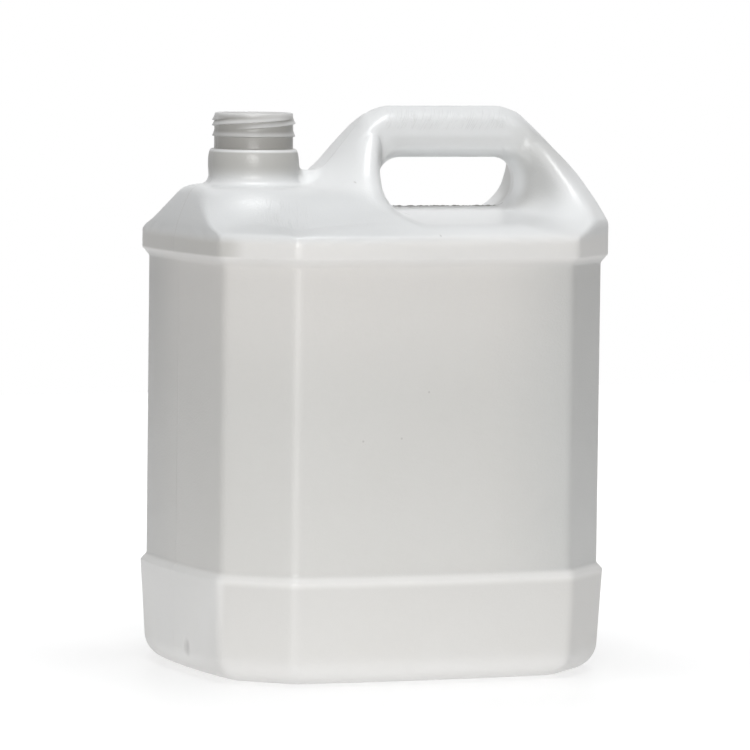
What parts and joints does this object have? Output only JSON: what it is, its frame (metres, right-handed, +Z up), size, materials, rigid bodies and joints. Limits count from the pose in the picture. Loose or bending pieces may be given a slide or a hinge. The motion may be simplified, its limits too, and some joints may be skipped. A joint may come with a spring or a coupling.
{
  "type": "plastic jerrycan",
  "caption": "Blow-moulded plastic jerrycan with a moulded-in hollow handle, chamfered corners, a base band and an open threaded neck.",
  "frame": {"origin": "middle of the footprint, on the surface that the can stands on", "axes": "+Z up, +X along the handle away from the neck, +Y towards the back; the two mould halves meet in the XZ plane"},
  "size_m": [0.194, 0.159, 0.2534],
  "materials": {
    "shell": "natural milky polyethylene with a fine blasted mould texture, slightly translucent"
  },
  "bodies": {
    "root": {"jerrycan": "shell"}
  },
  "joints": []
}
